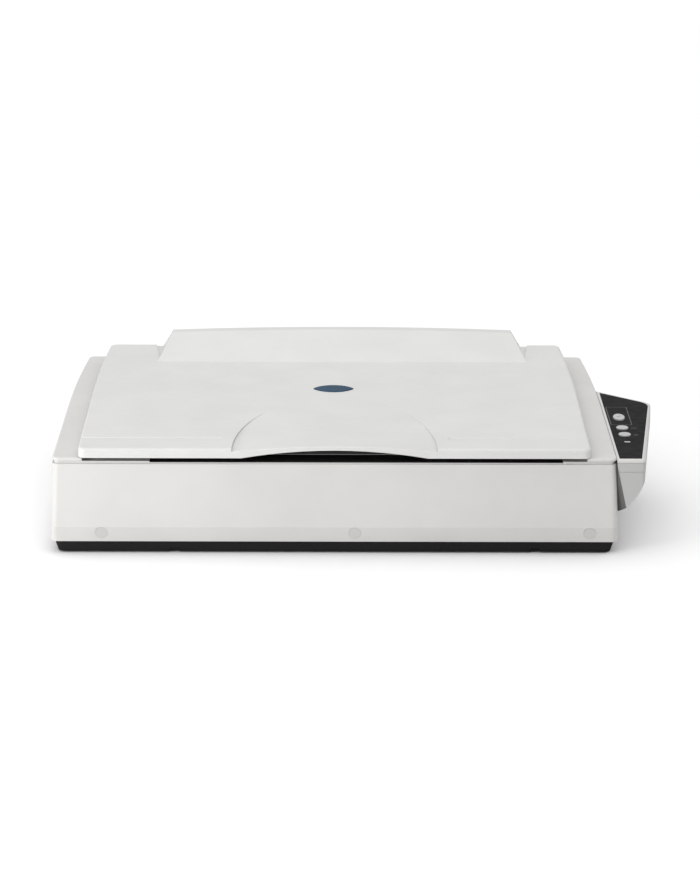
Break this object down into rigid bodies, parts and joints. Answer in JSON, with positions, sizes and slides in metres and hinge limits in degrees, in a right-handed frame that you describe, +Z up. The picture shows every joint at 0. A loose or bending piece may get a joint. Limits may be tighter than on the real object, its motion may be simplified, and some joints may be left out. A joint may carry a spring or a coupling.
{
  "type": "flatbed scanner",
  "caption": "Wide off-white flatbed scanner with a hinged lid, raised hinge cover, finger arch at the front and a sloping control wing with keys on the right.",
  "frame": {"origin": "on the supporting surface, under the middle of the whole object with its control wing", "axes": "+X to the right seen from the front, +Y to the back where the lid hinges are, +Z up"},
  "size_m": [0.644, 0.44, 0.1405],
  "materials": {
    "body_plastic": "fine texture, off-white",
    "lid_plastic": "satin, off-white",
    "skirt_plastic": "fine texture, near black",
    "wing_plastic": "fine texture, light grey",
    "cap_plastic": "satin, light grey",
    "overlay": "satin dark grey film",
    "print": "light grey print",
    "key_plastic": "satin, light grey",
    "badge": "slate blue enamel",
    "clear": "polished",
    "lamp": "white phosphor glass",
    "mirror": "front-silvered",
    "mat": "white foam with a smooth skin",
    "black_plastic": "fine texture",
    "white_plastic": "matt",
    "rubber": "matt",
    "acetal": "natural acetal",
    "steel": "zinc plated",
    "ground_steel": "ground bar",
    "bronze": "sintered bronze",
    "circuit": "green solder mask",
    "chips": "moulded package",
    "ribbon": "flat cable film"
  },
  "bodies": {
    "scanner_body": {"base_tray": "skirt_plastic", "rubber_feet": "rubber", "body_shell": "body_plastic", "front_screw_caps": "cap_plastic", "case_screws": "steel", "deck_cover": "body_plastic", "calibration_strip": "white_plastic", "platen_glass": "clear", "front_light_seal": "black_plastic", "hinge_socket_left": "black_plastic", "hinge_socket_right": "black_plastic", "wing_lower_shell": "wing_plastic", "wing_upper_shell": "body_plastic", "control_overlay": "overlay", "overlay_frame": "print", "button_board": "circuit", "status_lens": "key_plastic", "io_plate": "black_plastic", "usb_socket": "steel", "power_inlet": "black_plastic", "main_board": "circuit", "board_components": "chips", "ribbon_cable": "ribbon", "guide_rod": "ground_steel", "rod_clamps": "black_plastic", "side_rail": "steel", "home_sensor": "black_plastic", "gear_axle": "ground_steel", "motor_body": "steel", "motor_bracket": "steel", "idler_bracket": "black_plastic", "drive_belt": "rubber"},
    "hinge_posts": {"hinge_post_left": "cap_plastic", "hinge_post_right": "cap_plastic", "hinge_pin_left": "ground_steel", "hinge_pin_right": "ground_steel"},
    "lid": {"lid_cover": "lid_plastic", "lid_inner_panel": "black_plastic", "document_mat": "mat", "lid_bumpers": "rubber", "lid_screws": "steel", "lid_badge": "badge", "hinge_bracket_left": "black_plastic", "hinge_bracket_right": "black_plastic"},
    "carriage": {"carriage_housing": "black_plastic", "carriage_bushings": "bronze", "slide_pad": "acetal", "belt_clamp": "acetal", "lamp_tube": "lamp", "carriage_mirrors": "mirror", "carriage_lens": "black_plastic", "sensor_board": "circuit"},
    "drive_gear": {"reduction_gear": "acetal"},
    "pinion": {"motor_pinion": "bronze"},
    "idler": {"idler_pulley": "acetal"},
    "start_key": {"start_button": "key_plastic"},
    "copy_key": {"copy_button": "key_plastic"},
    "menu_key": {"menu_button": "key_plastic"},
    "rocker": {"power_rocker": "black_plastic"},
    "lock": {"transport_lock": "white_plastic"}
  },
  "joints": [
    {"name": "hinge_lift", "type": "slide", "parent": "scanner_body", "child": "hinge_posts", "axis": [0, 0, 1], "range_m": [0, 0.022]},
    {"name": "lid_hinge", "type": "hinge", "parent": "hinge_posts", "child": "lid", "pos_m": [-0.02598, 0.203, 0.124], "axis": [-1, 0, 0], "range_deg": [0, 80]},
    {"name": "carriage_travel", "type": "slide", "parent": "scanner_body", "child": "carriage", "axis": [1, 0, 0], "range_m": [0, 0.452]},
    {"name": "gear_spin", "type": "hinge", "parent": "scanner_body", "child": "drive_gear", "pos_m": [-0.28198, 0.166, 0.05], "axis": [0, 0, 1], "range_deg": [0, 2366]},
    {"name": "pinion_spin", "type": "hinge", "parent": "scanner_body", "child": "pinion", "pos_m": [-0.28198, 0.196, 0.06], "axis": [0, 0, 1], "range_deg": [-9464, 0]},
    {"name": "idler_spin", "type": "hinge", "parent": "scanner_body", "child": "idler", "pos_m": [0.23602, 0.166, 0.05], "axis": [0, 0, 1], "range_deg": [0, 2366]},
    {"name": "start_press", "type": "slide", "parent": "scanner_body", "child": "start_key", "axis": [0, 0, -1], "range_m": [0, 0.001], "stiffness_N_per_m": 500, "springref_m": -0.001},
    {"name": "copy_press", "type": "slide", "parent": "scanner_body", "child": "copy_key", "axis": [0, 0, -1], "range_m": [0, 0.001], "stiffness_N_per_m": 500, "springref_m": -0.001},
    {"name": "menu_press", "type": "slide", "parent": "scanner_body", "child": "menu_key", "axis": [0, 0, -1], "range_m": [0, 0.001], "stiffness_N_per_m": 500, "springref_m": -0.001},
    {"name": "power_rock", "type": "hinge", "parent": "scanner_body", "child": "rocker", "pos_m": [0.17902, 0.21, 0.038], "axis": [-1, 0, 0], "range_deg": [0, 14]},
    {"name": "lock_slide", "type": "slide", "parent": "scanner_body", "child": "lock", "axis": [0, 1, 0], "range_m": [0, 0.01]}
  ],
  "couplings": [
    {"joint": "gear_spin", "follows": "carriage_travel", "rad_per_m": 91.324},
    {"joint": "pinion_spin", "follows": "carriage_travel", "rad_per_m": -365.3},
    {"joint": "idler_spin", "follows": "carriage_travel", "rad_per_m": 91.324}
  ]
}
